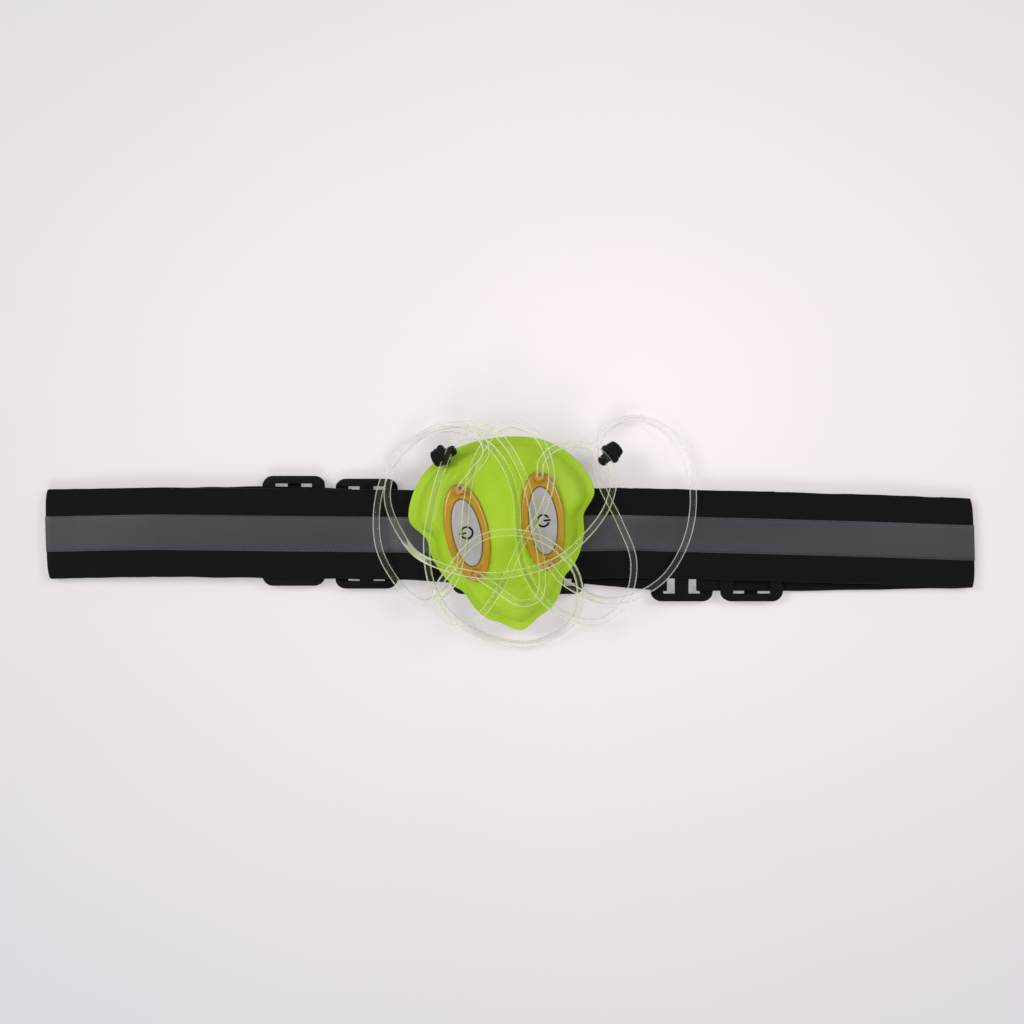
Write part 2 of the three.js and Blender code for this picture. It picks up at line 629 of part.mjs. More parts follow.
// ---------------------------------------------------------------- light tubes
// Each tube leaves one port of its module, wanders over the head and the belt, and returns to the other port.
const TUBES = {
  right: {
    ports: ['right_upper', 'right_lower'],
    steps: 79,
    route: [
      [16.8, 38.5, 38.6], [21.5, 44.5, 38.8], [31.5, 48.5, 31.5], [44, 47.5, 21], [54, 40, 18.8], [57, 28.5, 18.5],
      [53, 14, 22.5], [40.5, -2, 31], [22.5, -15.5, 41.5], [-10.5, -22.5, 42.5], [-42, -15.5, 41.5], [-58, -4, 18.5],
      [-68, 20, 14], [-61, 44.5, 11.5], [-48, 54.5, 10], [-34, 58, 13.5], [-23, 55.5, 17], [-13.5, 50, 21.5],
      [-4, 39, 31], [3, 21, 31.8], [4.5, 1, 32], [7.5, -18, 31.5], [15.5, -33, 29.5], [30, -45, 20.5],
      [50, -49, 10.5], [64.5, -37.5, 8.3], [68.5, -15.5, 13.5], [60.5, 6.5, 15], [50.5, 27.5, 15.2], [48, 48, 7.5],
      [57, 61, 5], [74, 64, 3], [93, 51.5, 4.5], [101.5, 27.5, 9], [99, -1, 10.5], [86, -24.5, 10],
      [67.5, -35.5, 13.7], [52.5, -37, 21], [38, -31.5, 34.5], [27.5, -24.5, 38.9],
    ],
  },
  left: {
    ports: ['left_lower', 'left_upper'],
    steps: 76,
    route: [
      [-9, -28.2, 39], [6, -37.5, 35.5], [15.5, -34.5, 34.8], [17.5, -22.5, 36.3], [13.5, 5, 35], [6.5, 33.5, 35.5],
      [-6, 53, 36.5], [-24.5, 60.5, 13.5], [-48, 56, 3.5], [-70, 31, 10], [-72, -10, 13.3], [-50, -38, 13.5],
      [-31.5, -27.5, 28], [-25.5, -6.5, 37.5], [-23.5, 17, 35], [-18, 41.5, 28.5], [-3.5, 59, 26.5], [13.5, 55, 23],
      [22.5, 33.5, 31.5], [18.5, 15, 40.5], [6.5, -5, 37], [-4.5, -28, 32], [-20, -47.5, 25.5], [-34, -47, 24.5],
      [-40.5, -34, 28], [-31, -17.5, 38.8], [-18, -3.5, 44], [-1, 1, 44.5], [19.5, -4, 40.5], [37, -23.5, 21.5],
      [36, -48, 6], [14, -61.5, 3], [-19, -56, 4], [-40, -36, 12], [-45.5, -5, 27.5], [-36, 38, 28.5],
      [-28.5, 51.5, 27.5], [-17, 53, 31.5], [-13, 43.5, 37], [-20, 33.5, 39.3],
    ],
  },
};

head.updateMatrixWorld(true);

function portEnd(name) {
  const port = PORTS.find((candidate) => candidate.name === name);
  const at = head.localToWorld(portPlace(port));
  const out = portAxis(port).transformDirection(head.matrixWorld);
  return { at, out, lead: at.clone().addScaledVector(out, LEAD) };
}

// The part of a tube between its two straight leads.
class Run extends THREE.Curve {
  constructor({ ports, route }) {
    super();
    const [first, last] = ports.map(portEnd);
    const points = route.map((point) => new THREE.Vector3(...point));
    const all = [first.at, first.lead, ...points, last.lead, last.at];
    this.whole = new THREE.CatmullRomCurve3(all, false, 'centripetal');
    this.whole.arcLengthDivisions = 1500;
    this.margin = (LEAD - 0.8) / this.whole.getLength();
  }

  getPoint(t) {
    return this.whole.getPointAt(THREE.MathUtils.lerp(this.margin, 1 - this.margin, t));
  }
}

function rod({ at, out }, radius, [low, high], segments) {
  const turn = new THREE.Quaternion().setFromUnitVectors(new THREE.Vector3(0, 1, 0), out);
  const geometry = new THREE.CylinderGeometry(radius, radius, high - low, segments);
  return geometry.translate(0, (low + high) / 2, 0).applyQuaternion(turn).translate(at.x, at.y, at.z);
}

function lightTube(tube) {
  const section = new THREE.Shape();
  section.absarc(0, 0, TUBE / 2, 0, 2 * Math.PI);
  const corners = new THREE.Shape(section.getPoints(8).slice(0, 8));
  const run = new THREE.ExtrudeGeometry(corners, {
    steps: tube.steps, extrudePath: new Run(tube), bevelEnabled: false,
  });
  return join(run, ...tube.ports.map((name) => rod(portEnd(name), TUBE / 2, [0, LEAD - 0.3], 8)));
}

// A squat rubber knob on a short neck; the tube lies in an open groove across the neck.
const CLIP = { drop: 1.5, groove: TUBE / 2 + 0.4, mouth: 2.2, pitch: THREE.MathUtils.degToRad(-15) };
const CLIP_PROFILE = [
  [0, -3.4], [2.8, -3.4], [3.6, -2.6], [3.6, 2.8], [5.2, 3.1], [5.8, 3.7], [5.8, 7.2], [5, 7.8], [5, 8.4],
  [5.3, 8.8], [5.3, 10.4], [4.6, 11.2], [0, 11.2],
];

function tubeClip(tube, near, heading) {
  const points = new Run(tube).getSpacedPoints(tube.steps);
  const chords = points.slice(1).map((point, i) => ({
    at: point.clone().add(points[i]).multiplyScalar(0.5),
    out: point.clone().sub(points[i]).normalize(),
  }));
  const distances = chords.map(({ at }) => at.distanceTo(near));
  const middle = distances.indexOf(Math.min(...distances));
  const chord = chords[middle];
  const plan = THREE.MathUtils.degToRad(heading);
  const axis = new THREE.Vector3(
    Math.cos(CLIP.pitch) * Math.cos(plan),
    Math.cos(CLIP.pitch) * Math.sin(plan),
    Math.sin(CLIP.pitch),
  );
  const body = new THREE.LatheGeometry(CLIP_PROFILE.map(([r, s]) => new THREE.Vector2(r, s)), 14);
  body.applyQuaternion(new THREE.Quaternion().setFromUnitVectors(new THREE.Vector3(0, 1, 0), axis));
  body.translate(chord.at.x, chord.at.y, chord.at.z - CLIP.drop);
  const grooves = chords.slice(middle - 2, middle + 3).map((part) => rod(part, CLIP.groove, [-6.5, 6.5], 12));
  const mouth = block([-12, 12], [-CLIP.mouth, CLIP.mouth], [0, 12]);
  mouth.rotateZ(Math.atan2(chord.out.y, chord.out.x)).translate(chord.at.x, chord.at.y, chord.at.z);
  return cut(body, ...grooves, mouth);
}

place('light_tube_right', lightTube(TUBES.right), LOOK.clear);
place('light_tube_left', lightTube(TUBES.left), LOOK.clear);
place('tube_clip_right', tubeClip(TUBES.right, new THREE.Vector3(52, 41, 18), 43), LOOK.nylon);
place('tube_clip_left', tubeClip(TUBES.left, new THREE.Vector3(-31.2, 47.3, 28), 205), LOOK.nylon);

export default model;
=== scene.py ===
"""Looks for the illuminated running belt: fine surfaces and procedural materials around the fixed frame."""
import json
import math

import bmesh
import bpy
from mathutils import Matrix, Vector, noise

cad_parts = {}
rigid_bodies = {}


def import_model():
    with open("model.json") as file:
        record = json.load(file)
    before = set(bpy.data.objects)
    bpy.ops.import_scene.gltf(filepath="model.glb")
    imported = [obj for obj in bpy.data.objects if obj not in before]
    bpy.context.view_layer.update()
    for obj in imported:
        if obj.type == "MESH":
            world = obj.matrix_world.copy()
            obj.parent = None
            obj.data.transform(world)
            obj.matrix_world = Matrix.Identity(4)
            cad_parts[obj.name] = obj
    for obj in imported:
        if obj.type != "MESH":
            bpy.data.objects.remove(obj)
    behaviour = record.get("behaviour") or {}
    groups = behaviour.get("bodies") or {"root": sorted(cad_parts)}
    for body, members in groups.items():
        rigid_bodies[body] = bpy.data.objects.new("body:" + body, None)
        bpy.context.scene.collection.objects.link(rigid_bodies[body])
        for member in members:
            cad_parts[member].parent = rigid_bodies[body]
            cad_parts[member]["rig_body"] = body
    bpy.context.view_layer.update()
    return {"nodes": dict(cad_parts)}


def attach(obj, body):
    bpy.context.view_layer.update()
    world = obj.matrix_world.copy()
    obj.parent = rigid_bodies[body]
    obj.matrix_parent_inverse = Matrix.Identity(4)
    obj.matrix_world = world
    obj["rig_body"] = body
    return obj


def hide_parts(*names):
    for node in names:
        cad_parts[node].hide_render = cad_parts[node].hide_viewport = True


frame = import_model()
MM = 0.001
UP = Vector((0, 0, 1))

# ---------------------------------------------------------------- camera
SENSOR_WIDTH, FOCAL_LENGTH, NEAREST = 36, 62.6, 0.01
CAMERA_AT = (0.0011, 0.0118, 1.0)
camera_data = bpy.data.cameras.new("camera")
camera_data.sensor_width = SENSOR_WIDTH
camera_data.lens = FOCAL_LENGTH
camera_data.clip_start = NEAREST
camera = bpy.data.objects.new("camera", camera_data)
camera.location = CAMERA_AT
bpy.context.scene.collection.objects.link(camera)
bpy.context.scene.camera = camera


# ---------------------------------------------------------------- materials
# the pitch of a wave texture's bands at scale 1, and the scale of the painted green reflection of the shell
# round the middle of the belt
UNIT_WAVE_PITCH, SHELL_REFLECTION_SCALE = 0.314, 11.5


def linear(color):
    """sRGB, 0 to 255, to linear."""
    def channel(c):
        c /= 255
        return c / 12.92 if c <= 0.04045 else ((c + 0.055) / 1.055) ** 2.4
    return tuple(channel(c) for c in color) + (1.0,)


class Look:
    """A node material built in steps; node(kind, inputs...) adds a node and returns its first output."""

    def __init__(self, name, color, roughness, **sockets):
        self.material = bpy.data.materials.new(name)
        self.material.use_nodes = True
        self.tree = self.material.node_tree
        self.shader = self.tree.nodes["Principled BSDF"]
        self.shader.inputs["Base Color"].default_value = linear(color)
        self.shader.inputs["Roughness"].default_value = roughness
        for socket, value in sockets.items():
            self.shader.inputs[socket.replace("_", " ")].default_value = value
        self.place = self.node("ShaderNodeTexCoord", output="Object")

    def node(self, kind, output=0, inputs=(), **settings):
        made = self.tree.nodes.new(kind)
        for key, value in settings.items():
            setattr(made, key, value)
        for key, value in dict(inputs).items():
            if isinstance(value, bpy.types.NodeSocket):
                self.tree.links.new(value, made.inputs[key])
            else:
                made.inputs[key].default_value = value
        return made.outputs[output]

    def scaled(self, scale):
        return self.node("ShaderNodeMapping", inputs={"Vector": self.place, "Scale": scale})

    def noise(self, scale, detail=3, stretch=(1, 1, 1)):
        return self.node("ShaderNodeTexNoise", inputs={
            "Vector": self.scaled(stretch), "Scale": scale, "Detail": detail})

    def wave(self, direction, pitch, distortion=0.0):
        """Bands of the given pitch in metres across one axis."""
        return self.node("ShaderNodeTexWave", 1, bands_direction=direction, inputs={
            "Vector": self.place, "Scale": UNIT_WAVE_PITCH / pitch, "Distortion": distortion, "Detail": 1.0})

    def ramp(self, factor, low, high, start=0.0, end=1.0):
        made = self.tree.nodes.new("ShaderNodeMapRange")
        self.tree.links.new(factor, made.inputs["Value"])
        for key, value in zip(("From Min", "From Max", "To Min", "To Max"), (start, end, low, high)):
            made.inputs[key].default_value = value
        return made.outputs[0]

    def math(self, operation, a, b):
        return self.node("ShaderNodeMath", operation=operation, inputs={0: a, 1: b})

    def paint(self, factor, low, high):
        mix = self.tree.nodes.new("ShaderNodeMix")
        mix.data_type = "RGBA"
        self.tree.links.new(factor, mix.inputs["Factor"])
        mix.inputs[6].default_value = linear(low)
        mix.inputs[7].default_value = linear(high)
        self.tree.links.new(mix.outputs[2], self.shader.inputs["Base Color"])
        return self

    def rough(self, factor, low, high):
        self.tree.links.new(self.ramp(factor, low, high), self.shader.inputs["Roughness"])
        return self

    def bump(self, height, distance, strength=1.0):
        made = self.node("ShaderNodeBump", inputs={
            "Height": height, "Distance": distance, "Strength": strength})
        self.tree.links.new(made, self.shader.inputs["Normal"])
        return self


def webbing_look():
    look = Look("woven_elastic", (20, 20, 21), 0.9, Sheen_Weight=0.05, Sheen_Roughness=0.5)
    look.shader.inputs["Specular IOR Level"].default_value = 0.15
    ribs = look.wave("Y", 0.0011, 0.6)
    picks = look.wave("X", 0.0009, 1.5)
    weave = look.math("MULTIPLY", ribs, look.ramp(picks, 0.55, 1.0))
    patches = look.noise(45, 4, (0.3, 1, 1))
    shade = look.math("ADD", look.ramp(weave, 0, 0.65), look.ramp(patches, 0, 0.35))
    look.paint(shade, (5, 5, 6), (14, 14, 15))
    look.bump(weave, 0.00012, 0.7)
    return look.material


def tape_look():
    look = Look("retroreflective_tape", (69, 68, 74), 0.42, Metallic=0.15)
    grain = look.noise(1600, 2)
    streaks = look.noise(30, 3, (0.25, 2.5, 1))
    glaze = look.math("ADD", look.ramp(grain, 0, 0.5), look.ramp(streaks, 0, 0.5))
    look.paint(glaze, (44, 43, 48), (68, 67, 73))
    look.rough(streaks, 0.36, 0.52)
    grid = look.math("ADD", look.wave("X", 0.0011), look.wave("Y", 0.0011))
    look.bump(look.math("ADD", grid, grain), 0.00005, 0.5)
    return look.material


def nylon_look(name="black_nylon", color=(5, 5, 6), roughness=0.5):
    look = Look(name, color, roughness)
    look.shader.inputs["Specular IOR Level"].default_value = 0.14
    grain = look.noise(900, 3)
    patches = look.noise(60, 3)
    look.paint(patches, tuple(c * 0.75 for c in color), tuple(c * 1.5 for c in color))
    look.rough(patches, roughness - 0.08, roughness + 0.12)
    look.bump(grain, 0.00006, 0.5)
    return look.material


def lime_look():
    look = Look("lime_moulding", (163, 208, 45), 0.5, Subsurface_Weight=0.2, Subsurface_Scale=0.003)
    look.shader.inputs["Specular IOR Level"].default_value = 0.28
    patches = look.noise(28, 4)
    grain = look.noise(1300, 2)
    look.paint(patches, (158, 196, 31), (171, 208, 45))
    look.rough(patches, 0.44, 0.58)
    look.bump(grain, 0.00004, 0.5)
    return look.material


def amber_look(name, low, high):
    look = Look(name, high, 0.24, Subsurface_Weight=0.25, Subsurface_Scale=0.003, Coat_Weight=0.3,
                Coat_Roughness=0.12)
    flow = look.noise(90, 4)
    look.paint(flow, low, high)
    look.rough(flow, 0.2, 0.32)
    look.bump(look.noise(500, 2), 0.00005, 0.3)
    return look.material


def cap_look():
    look = Look("grey_cap", (178, 174, 181), 0.4)
    patches = look.noise(120, 3)
    look.paint(patches, (158, 155, 155), (178, 175, 173))
    look.rough(patches, 0.34, 0.46)
    look.bump(look.noise(1500, 2), 0.00003, 0.4)
    return look.material


def clear_look():
    """Clear in the middle and milky at its rims; near the shell its colour is painted green as a reflection
    of the lime shell, less and less outwards.
    """
    look = Look("clear_soft_tube", (250, 251, 252), 0.08, Transmission_Weight=0.3, IOR=1.45, Coat_Weight=0.6,
                Coat_Roughness=0.03)
    rim = look.node("ShaderNodeLayerWeight", 1, {"Blend": 0.5})
    look.tree.links.new(look.ramp(rim, 0.02, 0.96, 0.24, 0.6), look.shader.inputs["Alpha"])
    # painted reflection: the tube's colour is painted lime green near the head unit, fading outwards, for the
    # green light it carries from the shell
    painted_shell_reflection = look.node("ShaderNodeTexGradient", 1, gradient_type="SPHERICAL", inputs={
        "Vector": look.scaled((SHELL_REFLECTION_SCALE, SHELL_REFLECTION_SCALE, SHELL_REFLECTION_SCALE))})
    drift = look.ramp(look.noise(60, 3), -0.25, 0.35)
    green = look.ramp(look.math("ADD", painted_shell_reflection, drift), 0, 1, 0.1, 0.6)
    look.paint(green, (250, 250, 252), (232, 243, 160))
    look.rough(look.noise(70, 3), 0.04, 0.12)
    return look.material


def metal_look(name, color, roughness):
    look = Look(name, color, roughness, Metallic=1.0)
    brushed = look.noise(800, 3, (1, 6, 1))
    look.paint(brushed, tuple(c * 0.85 for c in color), color)
    look.rough(brushed, roughness * 0.8, roughness * 1.3)
    look.bump(brushed, 0.00003, 0.4)
    return look.material


WEBBING = webbing_look()
TAPE = tape_look()
NYLON = nylon_look()
CLIP_NYLON = nylon_look("clip_rubber", (11, 11, 11), 0.6)
COVER = nylon_look("black_cover", (24, 24, 26), 0.5)
PRINT = nylon_look("black_print", (8, 8, 9), 0.8)
THREAD = nylon_look("grey_thread", (40, 39, 43), 0.85)
LIME = lime_look()
AMBER = amber_look("amber_moulding", (166, 128, 6), (192, 150, 14))
PORT_AMBER = amber_look("amber_port", (188, 124, 4), (212, 148, 10))
CAP = cap_look()
CLEAR = clear_look()
STEEL = metal_look("plain_steel", (190, 190, 192), 0.3)
CELL = metal_look("nickel_cell", (205, 205, 200), 0.22)
BOARD = nylon_look("green_board", (24, 96, 52), 0.4)
LENS = amber_look("led_lens", (236, 226, 196), (248, 244, 230))


# ---------------------------------------------------------------- building
MERGE_NEAR, MERGE_CAD = 1e-6, 2e-6
FLAT_ANGLE, EDGE_ANGLE = math.radians(1.5), math.radians(35)
CURVE_STEPS = 24


def make(name, verts, faces, material, node=None, slot=None, body="belt", smooth=True):
    """A mesh piece in the row frame that rides on a body and stands for a node."""
    mesh = bpy.data.meshes.new(name)
    mesh.from_pydata([tuple(v) for v in verts], [], faces)
    mesh.validate()
    mesh.update()
    obj = bpy.data.objects.new(name, mesh)
    bpy.context.scene.collection.objects.link(obj)
    return dress(obj, material, node, body, smooth)


def dress(obj, material, node, body, smooth=True):
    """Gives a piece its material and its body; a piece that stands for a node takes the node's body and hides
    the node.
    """
    obj.data.materials.clear()
    obj.data.materials.append(material)
    if smooth:
        obj.data.polygons.foreach_set("use_smooth", [True] * len(obj.data.polygons))
    if node:
        body = frame["nodes"][node]["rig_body"]
        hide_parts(node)
    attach(obj, body)
    return obj


def outward(obj):
    """Makes a closed mesh's faces point out."""
    shape = bmesh.new()
    shape.from_mesh(obj.data)
    bmesh.ops.recalc_face_normals(shape, faces=shape.faces)
    shape.to_mesh(obj.data)
    shape.free()
    return obj


def weld(obj):
    """Merges the points that meet on an axis and drops the edges that this leaves bare."""
    shape = bmesh.new()
    shape.from_mesh(obj.data)
    bmesh.ops.remove_doubles(shape, verts=shape.verts, dist=MERGE_NEAR)
    bare = [edge for edge in shape.edges if not edge.link_faces]
    bmesh.ops.delete(shape, geom=bare, context="EDGES")
    shape.to_mesh(obj.data)
    shape.free()
    return outward(obj)


def apply_modifiers(obj):
    graph = bpy.context.evaluated_depsgraph_get()
    graph.update()
    finished = bpy.data.meshes.new_from_object(obj.evaluated_get(graph))
    obj.modifiers.clear()
    obj.data = finished
    return obj


def loft(name, rings, material, close_rings=True, close_ends=False, close_loop=False, **where):
    """Skins a list of rings with the same number of points."""
    verts = [point for ring in rings for point in ring]
    count = len(rings[0])
    faces = []
    spans = len(rings) if close_loop else len(rings) - 1
    for i in range(spans):
        a, b = i * count, ((i + 1) % len(rings)) * count
        for k in range(count if close_rings else count - 1):
            n = (k + 1) % count
            faces.append((a + k, a + n, b + n, b + k))
    if close_ends:
        faces.append(tuple(range(count))[::-1])
        faces.append(tuple((len(rings) - 1) * count + k for k in range(count)))
    return outward(make(name, verts, faces, material, **where))


def softened(node, name, material, width, segments=2):
    """A CAD node's own shape with rounded edges."""
    shape = bmesh.new()
    shape.from_mesh(frame["nodes"][node].data)
    bmesh.ops.remove_doubles(shape, verts=shape.verts, dist=MERGE_CAD)
    bmesh.ops.dissolve_limit(shape, angle_limit=FLAT_ANGLE, verts=shape.verts, edges=shape.edges)
    mesh = bpy.data.meshes.new(name)
    shape.to_mesh(mesh)
    shape.free()
    obj = bpy.data.objects.new(name, mesh)
    bpy.context.scene.collection.objects.link(obj)
    bevel = obj.modifiers.new("round", "BEVEL")
    bevel.width = width
    bevel.segments = segments
    bevel.limit_method = "ANGLE"
    bevel.angle_limit = EDGE_ANGLE
    bevel.harden_normals = True
    obj.data.polygons.foreach_set("use_smooth", [True] * len(obj.data.polygons))
    apply_modifiers(obj)
    return dress(obj, material, node, None)


def curve_points(points, spacing, closed=False):
    """Points at an even spacing along a centripetal Catmull-Rom curve through the given ones."""
    points = [Vector(p) for p in points]
    count = len(points)
    spans = count if closed else count - 1
    dense = []
    for i in range(spans):
        p1, p2 = points[i], points[(i + 1) % count]
        p0 = points[i - 1] if closed or i else p1 * 2 - p2
        p3 = points[(i + 2) % count] if closed or i + 2 < count else p2 * 2 - p1
        knots = [0.0]
        for a, b in ((p0, p1), (p1, p2), (p2, p3)):
            knots.append(knots[-1] + math.sqrt((b - a).length))
        t0, t1, t2, t3 = knots
        for k in range(CURVE_STEPS):
            t = t1 + (t2 - t1) * k / CURVE_STEPS
            a1 = p0 * ((t1 - t) / (t1 - t0)) + p1 * ((t - t0) / (t1 - t0))
            a2 = p1 * ((t2 - t) / (t2 - t1)) + p2 * ((t - t1) / (t2 - t1))
            a3 = p2 * ((t3 - t) / (t3 - t2)) + p3 * ((t - t2) / (t3 - t2))
            b1 = a1 * ((t2 - t) / (t2 - t0)) + a2 * ((t - t0) / (t2 - t0))
            b2 = a2 * ((t3 - t) / (t3 - t1)) + a3 * ((t - t1) / (t3 - t1))
            dense.append(b1 * ((t2 - t) / (t2 - t1)) + b2 * ((t - t1) / (t2 - t1)))
    dense.append(points[0] if closed else points[-1])
    return even(dense, spacing)


def even(points, spacing):
    """The polyline's points again, at an even spacing close to the one given."""
    lengths = [0.0]
    for a, b in zip(points, points[1:]):
        lengths.append(lengths[-1] + (b - a).length)
    steps = max(2, round(lengths[-1] / spacing))
    result, i = [], 0
    for k in range(steps + 1):
        target = lengths[-1] * k / steps
        while i < len(points) - 2 and lengths[i + 1] < target:
            i += 1
        span = lengths[i + 1] - lengths[i]
        result.append(points[i].lerp(points[i + 1], (target - lengths[i]) / span if span else 0))
    return result


def sweep_rings(path, section):
    """Rings of a section carried along a path without twist."""
    side = (path[1] - path[0]).orthogonal().normalized()
    rings = []
    for i, point in enumerate(path):
        ahead = path[min(i + 1, len(path) - 1)] - path[max(i - 1, 0)]
        ahead.normalize()
        side = (side - ahead * side.dot(ahead)).normalized()
        other = ahead.cross(side)
        rings.append([point + side * u + other * v for u, v in section])
    return rings


def circle(radius, segments):
    turns = [2 * math.pi * k / segments for k in range(segments)]
    return [(radius * math.cos(t), radius * math.sin(t)) for t in turns]


# ---------------------------------------------------------------- head unit frame
HEAD_AT = Vector((-2.4, 1.8, 0))
HEAD_TILT = math.radians(9)
MODULE_AT = (21, 2)
MODULE_TILT = math.radians(3)
PORT_AT, PORT_Z, PORT_RISE, LEAD = 22.6, 29.5, math.radians(60), 6
TUBE = 4.0
HEADINGS = {"right_upper": 78, "right_lower": 305, "left_upper": 62, "left_lower": 322}
SIDES = {"left": -1, "right": 1}


def head_to_row(point):
    """A point of the head unit, in millimetres, in the row frame, in metres."""
    return (Matrix.Rotation(HEAD_TILT, 3, "Z") @ Vector(point) + HEAD_AT) * MM


def module_to_row(point, side):
    """A point of a light module, in millimetres, in the row frame, in metres."""
    spun = Matrix.Rotation(-side * MODULE_TILT, 3, "Z") @ Vector(point)
    return head_to_row(spun + Vector((side * MODULE_AT[0], MODULE_AT[1], 0)))


def port(name):
    """Where a tube enters a module's ring, and the direction in which it leaves."""
    side = SIDES[name.split("_")[0]]
    end = 1 if name.endswith("upper") else -1
    at = module_to_row((0, end * PORT_AT, PORT_Z), side)
    plan = math.radians(HEADINGS[name])
    flat = math.cos(PORT_RISE)
    return at, Vector((flat * math.cos(plan), flat * math.sin(plan), math.sin(PORT_RISE)))


RIDGED_FROM, RIDGE_DEPTH = 0.9, 0.035


def turned(name, profile, at, axis, material, segments, ridges=0, **where):
    """A closed (radius, height) profile in millimetres turned about an axis; ridges knurl its widest part."""
    side = axis.orthogonal().normalized()
    other = axis.cross(side)
    widest = max(r for r, _ in profile)
    rings = []
    for k in range(segments):
        t = 2 * math.pi * k / segments
        ring = []
        for r, s in profile:
            if ridges and r > RIDGED_FROM * widest:
                r *= 1 + RIDGE_DEPTH * math.cos(ridges * t)
            ring.append(at + (axis * s + (side * math.cos(t) + other * math.sin(t)) * r) * MM)
        rings.append(ring)
    return loft(name, rings, material, close_loop=True, **where)


# ---------------------------------------------------------------- light tubes
ROUTES = {
    "right": ("right_upper", "right_lower", [
        (16.8, 38.5, 38.6), (21.5, 44.5, 38.8), (31.5, 48.5, 31.5), (44, 47.5, 21), (54, 40, 18.8),
        (57, 28.5, 18.5), (53, 14, 22.5), (40.5, -2, 31), (22.5, -15.5, 41.5), (-10.5, -22.5, 42.5),
        (-42, -15.5, 41.5), (-58, -4, 18.5), (-68, 20, 14), (-61, 44.5, 11.5), (-48, 54.5, 10),
        (-34, 58, 13.5), (-23, 55.5, 17), (-13.5, 50, 21.5), (-4, 39, 31), (3, 21, 31.8), (4.5, 1, 32),
        (7.5, -18, 31.5), (15.5, -33, 29.5), (30, -45, 20.5), (50, -49, 10.5), (64.5, -37.5, 8.3),
        (68.5, -15.5, 13.5), (60.5, 6.5, 15), (50.5, 27.5, 15.2), (48, 48, 7.5), (57, 61, 5), (74, 64, 3),
        (93, 51.5, 4.5), (101.5, 27.5, 9), (99, -1, 10.5), (86, -24.5, 10), (67.5, -35.5, 13.7),
        (52.5, -37, 21), (38, -31.5, 34.5), (27.5, -24.5, 38.9)]),
    "left": ("left_lower", "left_upper", [
        (-9, -28.2, 39), (6, -37.5, 35.5), (15.5, -34.5, 34.8), (17.5, -22.5, 36.3), (13.5, 5, 35),
        (6.5, 33.5, 35.5), (-6, 53, 36.5), (-24.5, 60.5, 13.5), (-48, 56, 3.5), (-70, 31, 10),
        (-72, -10, 13.3), (-50, -38, 13.5), (-31.5, -27.5, 28), (-25.5, -6.5, 37.5), (-23.5, 17, 35),
        (-18, 41.5, 28.5), (-3.5, 59, 26.5), (13.5, 55, 23), (22.5, 33.5, 31.5), (18.5, 15, 40.5),
        (6.5, -5, 37), (-4.5, -28, 32), (-20, -47.5, 25.5), (-34, -47, 24.5), (-40.5, -34, 28),
        (-31, -17.5, 38.8), (-18, -3.5, 44), (-1, 1, 44.5), (19.5, -4, 40.5), (37, -23.5, 21.5),
        (36, -48, 6), (14, -61.5, 3), (-19, -56, 4), (-40, -36, 12), (-45.5, -5, 27.5), (-36, 38, 28.5),
        (-28.5, 51.5, 27.5), (-17, 53, 31.5), (-13, 43.5, 37), (-20, 33.5, 39.3)]),
}
PATH_STEP, TUBE_SEGMENTS = 0.0014, 20
CLIP_SEGMENTS, CLIP_RIDGES, COLLAR_SEGMENTS = 72, 18, 36
CLIPS = {"right": ((52.2, 41.0, 19.0), 43), "left": ((-32.7, 44.7, 27.9), 205)}
CLIP_DROP, CLIP_PITCH = 1.5, math.radians(-15)
CLIP_PROFILE = [
    (0.05, -3.3), (1.7, -3.3), (2.3, -3.0), (2.7, -2.4), (2.8, -1.7), (2.8, 1.9), (3.1, 2.5), (4.3, 2.7),
    (5.2, 2.9), (5.6, 3.4), (5.75, 4.0), (5.7, 4.8), (5.4, 5.4), (5.0, 5.7), (4.85, 6.0), (5.0, 6.3),
    (5.1, 6.8), (5.1, 7.5), (4.9, 7.9), (4.5, 8.1), (4.4, 8.4), (4.6, 8.8), (4.6, 9.5), (4.3, 10.1),
    (3.7, 10.4), (2.2, 10.4), (1.8, 10.1), (0.05, 10.1),
]

for side, (at, heading) in CLIPS.items():
    plan = math.radians(heading)
    flat = math.cos(CLIP_PITCH)
    axis = Vector((flat * math.cos(plan), flat * math.sin(plan), math.sin(CLIP_PITCH)))
    centre = (Vector(at) - UP * CLIP_DROP) * MM
    turned(f"cord_clip_{side}", CLIP_PROFILE, centre, axis, CLIP_NYLON, CLIP_SEGMENTS,
                         ridges=CLIP_RIDGES, node=f"tube_clip_{side}", slot="clip_rubber")

for side, (start, finish, route) in ROUTES.items():
    (first, first_out), (last, last_out) = port(start), port(finish)
    points = [first, first + first_out * LEAD * MM, *[Vector(p) * MM for p in route],
              last + last_out * LEAD * MM, last]
    path = curve_points(points, PATH_STEP)
    rings = sweep_rings(path, circle(TUBE / 2 * MM, TUBE_SEGMENTS))
    tube = loft(f"clear_tube_{side}", rings, CLEAR, close_ends=True, node=f"light_tube_{side}",
                slot="light_tube")

COLLAR = [(2.15, -1.2), (2.8, -1.2), (2.8, 3.7), (2.72, 4.1), (2.5, 4.35), (2.3, 4.35), (2.15, 4.1)]
for name in HEADINGS:
    at, axis = port(name)
    turned(f"port_collar_{name}", COLLAR, at, axis, PORT_AMBER, COLLAR_SEGMENTS,
           node=f"tube_collar_{name}", slot="amber_ring")

